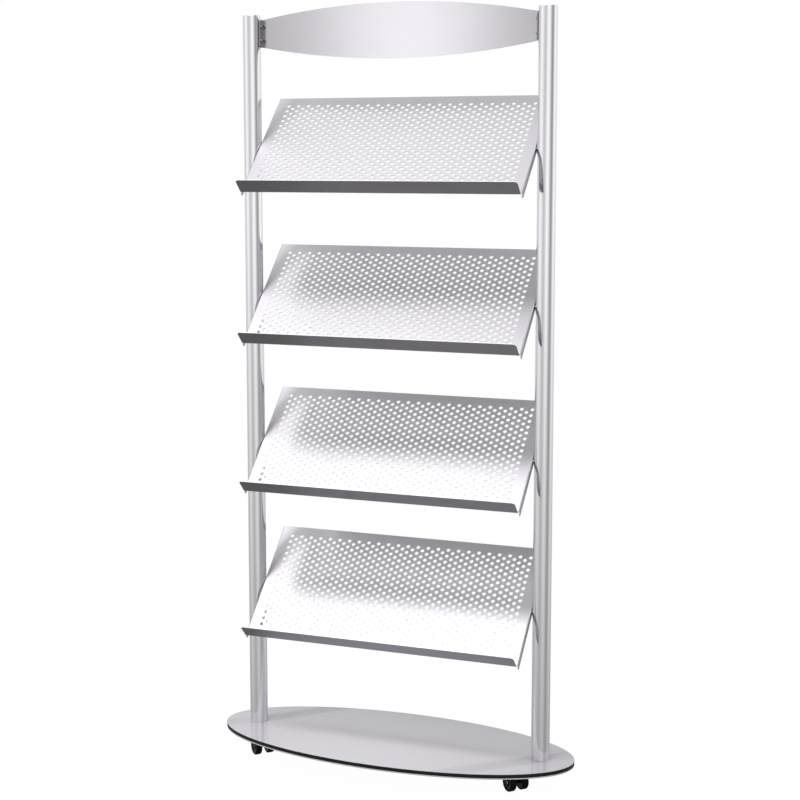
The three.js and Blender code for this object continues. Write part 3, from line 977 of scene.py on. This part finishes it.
screwLook = {
    "headRadius": 4.75, "headHeight": 2.7, "headEdge": 0.2, "shankRadius": 2.5, "tip": 0.8, "sides": 36,
    "dome": [(0.96, 0.30), (0.86, 0.58), (0.72, 0.80), (0.56, 0.94), (0.46, 1)],  # shares of radius, height
    "socketFlats": 3, "socketDepth": 1.6, "socketMouth": 0.62, "mouthDepth": 0.25,  # mouth: share of flats
    "drillRadius": 0.1, "drillDepth": 0.3,
}


def buttonScrew(name, total, finish):
    look = screwLook
    head, top, count = look["headRadius"], look["headHeight"], look["sides"]
    shank, tip, edge, end = look["shankRadius"], look["tip"], look["headEdge"], top - total
    outline = [(shank - tip, end), (shank, end + tip), (shank, 0), (head - edge, 0), (head, edge)]
    outline += [(share * head, rise * top) for share, rise in look["dome"]]
    flats, floor = look["socketFlats"], top - look["socketDepth"]
    outline.append((look["socketMouth"] * flats, top))
    rings = [roundRing(radius, height, count) for radius, height in outline]
    rings += [hexRing(flats, top - look["mouthDepth"], count), hexRing(flats, floor, count)]
    rings.append(roundRing(look["drillRadius"], floor - look["drillDepth"], count))
    return loft(name, rings, [finish])


def addScrews():
    meshes = {}
    names = [f"shelf_{number}_screw_{level}" for number in shelfNumbers for level in levels]
    names += [f"header_screw_{level}" for level in levels]
    for stem in names:
        for sideName, side in sides.items():
            node = f"{stem}_{sideName}"
            low, high = boxOf(node)
            total = round(high.x - low.x, 2)
            # the header's screws take the darker satin copy, with its painted shade
            finish = paintedShadeSatin if stem.startswith("header") else zincPlate
            kind = (total, finish)
            if kind not in meshes:
                meshes[kind] = buttonScrew(f"buttonScrew.{len(meshes)}", total, finish)
            seat = high.x - screwLook["headHeight"] if side < 0 else low.x + screwLook["headHeight"]
            spot = Vector((seat, (low.y + high.y) / 2, (low.z + high.z) / 2)) * mm
            place = Matrix.Translation(spot) @ Matrix.Rotation(-side * pi / 2, 4, "Y")
            addPiece(f"screw.{node}", meshes[kind], "rack", [node], place)


addScrews()
print("screws made")


# castors: swivel axis on z, axle along x, trailing towards +y

castorLook = {
    "trail": 12.5, "wheelRadius": 20, "wheelWidth": 14.4, "boreRadius": 3.3,
    "webHalf": 6.3, "wheelGap": 1.5,  # the gap is between web and wheel
}
wheelOffset = castorLook["webHalf"] + castorLook["wheelGap"] + castorLook["wheelWidth"] / 2
castorHalf = wheelOffset + castorLook["wheelWidth"] / 2


def helper(mesh):
    thing = bpy.data.objects.new(mesh.name, mesh)
    scene.collection.objects.link(thing)
    return thing


def aboutAxle(mesh):  # a shape drawn along z, laid along the axle
    axlePlace = Matrix.Translation((0, castorLook["trail"] * mm, castorLook["wheelRadius"] * mm))
    mesh.transform(axlePlace @ Matrix.Rotation(pi / 2, 4, "Y"))
    return mesh


def fromAxle(x, y, z):
    return Vector((x, castorLook["trail"] + y, castorLook["wheelRadius"] + z))


housingLook = {
    "webEdge": 0.6, "webSteps": 24, "lugRadius": 6, "lugSteps": 20,
    "hoodInside": 21, "hoodWall": 2, "hoodSteps": 28, "hoodShoulder": 1.6, "shoulderSteps": 4,
    "hoodFrom": 25, "webIn": 4,  # degrees; webIn keeps the web's corners in the hood's wall
    "bossRadius": 11.5, "bossFrom": 30.5, "bossFootEdge": 0.4, "bossEdge": 1.4, "bossSides": 64,
    "socketRadius": 4.8, "socketFloor": 31.6, "roundSides": 48, "sharpest": 28,
    "roomIn": 0.6, "roomInWeb": 0.5, "roomSides": 96,  # roomIn: share of the hood's wall
    "past": {"boss": 2, "hood": 3, "web": 1},  # how far cutters run past a face
}


def hoodMesh(look):
    half, inside = castorHalf, look["hoodInside"]
    outside = inside + look["hoodWall"]
    shoulder = reversed(roundOver(look["hoodShoulder"], look["shoulderSteps"]))
    edge = [(half - inset, outside - drop) for inset, drop in shoulder]
    section = [(half, inside)] + edge + [(-x, r) for x, r in reversed(edge)] + [(-half, inside)]
    rings = []
    for i in range(look["hoodSteps"] + 1):
        turn = radians(look["hoodFrom"] + (180 - 2 * look["hoodFrom"]) * i / look["hoodSteps"])
        rings.append([fromAxle(x, r * cos(turn), r * sin(turn)) for x, r in section])
    return loft("castorHood", rings, [blackNylon])


def webMesh(look):
    half, edge, axis = castorLook["webHalf"], look["webEdge"], Vector((0, 0))
    reach = look["hoodInside"] + look["hoodWall"] / 2
    start = look["hoodFrom"] + look["webIn"]
    outline = arc(axis, reach, start, 180 - start, look["webSteps"])
    outline += arc(axis, look["lugRadius"], 180 - start, 360 + start, look["lugSteps"])
    rings = []
    for inset, x in softSide(-half, half, edge, edge):
        shrunk = [spot - spot.normalized() * inset for spot in outline]
        rings.append([fromAxle(x, spot.x, spot.y) for spot in shrunk])
    return loft("castorWeb", rings, [blackNylon])


def housingMesh(look, top):
    past, socket = look["past"], look["socketRadius"]
    web, bore = castorLook["webHalf"], castorLook["boreRadius"]
    side = turnedSide(look["bossRadius"], look["bossFrom"], top, look["bossFootEdge"], look["bossEdge"])
    boss = helper(turned("castorBoss", side, [blackNylon], look["bossSides"]))
    tools = []
    for s in sides.values():
        ends = sorted((s * (web - look["roomInWeb"]), s * (castorHalf + past["hood"])))
        room = look["hoodInside"] + look["roomIn"] * look["hoodWall"]
        wheelRoom = turned("wheelRoom", [(room, end) for end in ends], [blackNylon], look["roomSides"])
        tools.append(("DIFFERENCE", aboutAxle(wheelRoom)))
    tools += [("UNION", webMesh(look)), ("UNION", hoodMesh(look))]
    socketSide = [(socket, look["socketFloor"]), (socket, top + past["boss"])]
    tools.append(("DIFFERENCE", turned("stemSocket", socketSide, [blackNylon], look["roundSides"])))
    boreEnd = web + past["web"]
    axleBore = turned("axleBore", [(bore, -boreEnd), (bore, boreEnd)], [blackNylon], look["roundSides"])
    tools.append(("DIFFERENCE", aboutAxle(axleBore)))
    used = [boss]
    for operation, mesh in tools:
        used.append(helper(mesh))
        step = boss.modifiers.new(mesh.name, "BOOLEAN")
        step.operation, step.object, step.solver = operation, used[-1], "EXACT"
    shaped = boss.evaluated_get(bpy.context.evaluated_depsgraph_get())
    mesh = bpy.data.meshes.new_from_object(shaped)
    mesh.name = "castorHousing"
    for thing in used:
        bpy.data.objects.remove(thing)
    mesh.shade_smooth()
    mesh.set_sharp_from_angle(angle=radians(look["sharpest"]))
    return mesh


wheelLook = {
    "treadEdge": 2.5, "treadSteps": 5, "sides": 72, "innerEdge": 0.4, "outerEdge": 0.6,
    "innerFace": 1.2,  # ends this far inside the tread's rounding
    # how far in from the tread and from the outer face: groove, rim and dish
    "rim": [(3.2, 0), (3.5, 0.5), (3.9, 0.5), (4.1, 0.1), (4.6, 0.1), (5.8, 1.1), (6.6, 1.5)],
    "hub": [(8.6, 1.5), (7.4, 1.2), (6.6, 0.3), (6.0, 0), (4.2, 0)],  # radius, and in from the outer face
}


def wheelMesh(look):
    radius, bore = castorLook["wheelRadius"], castorLook["boreRadius"]
    half, edge, small = castorLook["wheelWidth"] / 2, look["treadEdge"], look["innerEdge"]
    inner = [(bore, -half + small), (bore + small, -half), (radius - edge - look["innerFace"], -half)]
    tread = turnedSide(radius, -half, half, edge, edge, steps=look["treadSteps"])
    outer = [(radius - fromTread, half - fromFace) for fromTread, fromFace in look["rim"]]
    outer += [(reach, half - fromFace) for reach, fromFace in look["hub"]]
    outline = inner + tread + outer + [(bore, half - look["outerEdge"])]
    treadFrom, treadTo = len(inner) - 1, len(inner) + len(tread)
    bands = [0 if treadFrom <= i < treadTo else 1 for i in range(len(outline))]
    finishes = [treadRubber, blackNylon]
    mesh = turned("castorWheel", outline, finishes, look["sides"], endless=True, bands=bands)
    mesh.transform(Matrix.Rotation(pi / 2, 4, "Y"))
    return mesh


stemLook = {
    "pinRadius": 4.5, "pinLength": 18, "collarRadius": 10, "collar": 2.5, "collarEdge": 0.4,
    "threadRadius": 4, "tip": 0.8, "sides": 48,
}


def stemMesh(look):
    low, high = boxOf("castor_front_left_stem")
    pin, thread, tip, edge = look["pinRadius"], look["threadRadius"], look["tip"], look["collarEdge"]
    collarLow = low.z + look["pinLength"]
    collarHigh = collarLow + look["collar"]
    outline = [(pin - tip, low.z), (pin, low.z + tip), (pin, collarLow)]
    outline += turnedSide(look["collarRadius"], collarLow, collarHigh, edge, edge)
    outline += [(thread, collarHigh), (thread, high.z - tip), (thread - tip, high.z)]
    return turned("castorStem", outline, [zincPlate], look["sides"])


axleLook = {"radius": 3, "inset": 1, "edge": 0.7, "sides": 40}  # inset: from the wheels' outer faces


def axleMesh(look):
    half = castorHalf - look["inset"]
    side = turnedSide(look["radius"], -half, half, look["edge"], look["edge"])
    return aboutAxle(turned("castorAxle", side, [zincPlate], look["sides"]))


def addCastor(corner):
    name = f"castor_{corner}"
    foot = Vector(jointNamed[f"{name}_turn"]["pos_m"])
    along = jointNamed[f"{name}_left_roll"]["axis"]
    place = Matrix.Translation((foot.x, foot.y, 0)) @ Matrix.Rotation(atan2(along[1], along[0]), 4, "Z")
    swivel = f"{name}_swivel"
    addPiece(f"castorStem.{corner}", stem, "rack", [f"{name}_stem"], place)
    addPiece(f"castorHousing.{corner}", housing, swivel, [f"{name}_housing"], place)
    addPiece(f"castorAxle.{corner}", axle, swivel, [f"{name}_axle"], place)
    for sideName, side in sides.items():
        hub = Matrix.Translation(fromAxle(side * wheelOffset, 0, 0) * mm)
        facing = Matrix.Rotation(pi if side < 0 else 0, 4, "Z")
        body, node = f"{name}_{sideName}_wheel", f"{name}_wheel_{sideName}"
        wheelPlace = place @ hub @ facing
        addPiece(f"castorWheel.{corner}.{sideName}", wheel, body, [node], wheelPlace)


housing = housingMesh(housingLook, boxOf("castor_front_left_housing")[1].z)
wheel, stem, axle = wheelMesh(wheelLook), stemMesh(stemLook), axleMesh(axleLook)
for corner in corners:
    addCastor(corner)
print("castors made")


# studio

white = (1, 1, 1, 1)
domeLook = {
    "bands": [  # degrees round from the front, and light
        (-180, 0.84), (-153, 1.05), (-97, 0.70), (-55, 1.06), (-12, 0.62),
        (30, 1.10), (75, 0.34), (117, 1.06), (157, 0.80), (180, 0.84),
    ],
    # the From and Full values are heights on the unit dome
    "overhead": 1.22, "overheadFront": 1.5, "overheadLeast": 0.6, "overheadFrom": 0.35, "overheadFull": 0.8,
    "low": 0.33, "lowFrom": -0.04, "lowFull": -0.44,
    "nadir": 0.175, "nadirFrom": -0.45, "nadirFull": -0.85,
}


def addBands(tree, around, bands):  # upright bands of light and shade for the posts to mirror
    strongest = max(level for angle, level in bands)
    ramp = addNode(tree, "ShaderNodeValToRGB", {"Fac": around})
    ramp.color_ramp.interpolation = "EASE"
    stops = ramp.color_ramp.elements
    for i, (angle, level) in enumerate(bands):
        stop = stops[i] if i < len(stops) else stops.new(1)
        stop.position = (angle + 180) / 360
        stop.color = (level / strongest,) * 3 + (1,)
    return maths(tree, "MULTIPLY", ramp.outputs["Color"], strongest)


def cameraSees(tree, other, seen, kind):  # one shader for the camera, another for the light
    fromCamera = addNode(tree, "ShaderNodeLightPath").outputs["Is Camera Ray"]
    mixed = addNode(tree, "ShaderNodeMixShader", {0: fromCamera, 1: other.outputs[0], 2: seen.outputs[0]})
    addNode(tree, kind, {"Surface": mixed.outputs[0]})


def makeWorld(look):
    world = bpy.data.worlds.new("studio")
    scene.world = world
    world.use_nodes = True
    tree = world.node_tree
    tree.nodes.clear()
    spot = addNode(tree, "ShaderNodeTexCoord").outputs["Generated"]
    way = addNode(tree, "ShaderNodeSeparateXYZ", {0: spot}).outputs
    forward = maths(tree, "MULTIPLY", way["Y"], -1)
    around = shareOf(tree, maths(tree, "ARCTAN2", way["X"], forward), -pi, pi)
    ceiling = add(tree, look["overhead"], forward, look["overheadFront"])
    ceiling = maths(tree, "MAXIMUM", ceiling, look["overheadLeast"])
    upward = shareOf(tree, way["Z"], look["overheadFrom"], look["overheadFull"], smooth=True)
    downward = shareOf(tree, way["Z"], look["lowFrom"], look["lowFull"])
    deepest = shareOf(tree, way["Z"], look["nadirFrom"], look["nadirFull"], smooth=True)
    light = addBands(tree, around, look["bands"])
    for share, level in ((upward, ceiling), (downward, look["low"]), (deepest, look["nadir"])):
        light = addNode(tree, "ShaderNodeMix", {"Factor": share, "A": light, "B": level}).outputs[0]
    dome = addNode(tree, "ShaderNodeBackground", {"Color": white, "Strength": light})
    backdrop = addNode(tree, "ShaderNodeBackground", {"Color": white, "Strength": 1})
    cameraSees(tree, dome, backdrop, "ShaderNodeOutputWorld")


floorLook = {"radius": 9, "sides": 96, "shade": 0.60, "paleShade": 0.9, "glow": 0.985}  # radius in metres


def makeFloor(look):
    material = bpy.data.materials.new("paleFloor")
    material.use_nodes = True
    tree = material.node_tree
    tree.nodes.clear()
    matt = addNode(tree, "ShaderNodeBsdfDiffuse", {"Color": (look["shade"],) * 3 + (1,)})
    pale = addNode(tree, "ShaderNodeBsdfDiffuse", {"Color": (look["paleShade"],) * 3 + (1,)})
    glow = addNode(tree, "ShaderNodeEmission", {"Color": white, "Strength": 1})
    glowing = {0: look["glow"], 1: pale.outputs[0], 2: glow.outputs[0]}
    bright = addNode(tree, "ShaderNodeMixShader", glowing)
    cameraSees(tree, matt, bright, "ShaderNodeOutputMaterial")
    mesh = bpy.data.meshes.new("studioFloor")
    mesh.from_pydata(roundRing(look["radius"], 0, look["sides"]), [], [tuple(range(look["sides"]))])
    mesh.materials.append(material)
    floor = bpy.data.objects.new("studioFloor", mesh)
    scene.collection.objects.link(floor)
    floor.visible_glossy = False  # polished faces mirror the dome's dark lower half instead


softBoxes = {
    "frontLeft": {
        "place": (-1.35, -1.6, 4.3), "aim": (0, 0, 0.1), "size": (0.8, 0.8), "power": 40, "mirrored": True,
    },
    "frontRight": {
        "place": (1.3, -1.75, 4.3), "aim": (0, 0, 0.1), "size": (0.9, 0.9), "power": 9, "mirrored": True,
    },
    "headerGlow": {
        "place": (-1.05, -2.8, 1.75), "aim": (0, 0, 1.64), "size": (0.6, 1.2), "power": 3, "mirrored": True,
        "only": header,
    },
    "baseGlow": {
        "place": (-0.35, -1.5, 3.4), "aim": (0, -0.12, 0.07), "size": 0.3, "cone": 17, "power": 600,
        "mirrored": False, "only": decorSheet,
    },
    "baseLeft": {
        "place": (-2.3, -2.1, 1.5), "aim": (0, 0, 0.07), "size": 0.1, "cone": 40, "power": 520,
        "mirrored": False, "only": decorSheet,
    },
    "baseBack": {
        "place": (2.4, 1.9, 1.6), "aim": (0, 0, 0.07), "size": 0.1, "cone": 40, "power": 400,
        "mirrored": False, "only": decorSheet,
    },
}


def addSoftBox(name, look):
    if "cone" in look:
        data = bpy.data.lights.new(name, "SPOT")
        data.spot_size = radians(look["cone"])
        data.spot_blend = 1
        data.shadow_soft_size = look["size"]
    else:
        data = bpy.data.lights.new(name, "AREA")
        data.shape = "RECTANGLE"
        data.size, data.size_y = look["size"]
    data.energy = look["power"]
    light = bpy.data.objects.new(name, data)
    light.location = look["place"]
    beam = Vector(look["aim"]) - Vector(look["place"])
    light.rotation_euler = beam.to_track_quat("-Z", "Y").to_euler()
    light.visible_camera = False
    light.visible_glossy = look["mirrored"]
    scene.collection.objects.link(light)
    if "only" in look:
        lit = bpy.data.collections.new(name + "Lit")
        lit.objects.link(look["only"])
        light.light_linking.receiver_collection = lit


makeWorld(domeLook)
makeFloor(floorLook)
for name, look in softBoxes.items():
    addSoftBox(name, look)
scene.view_settings.view_transform = "Standard"
scene.cycles.sample_clamp_indirect = 0.8  # no bright specks in the folds of the sheet
print("studio lit")
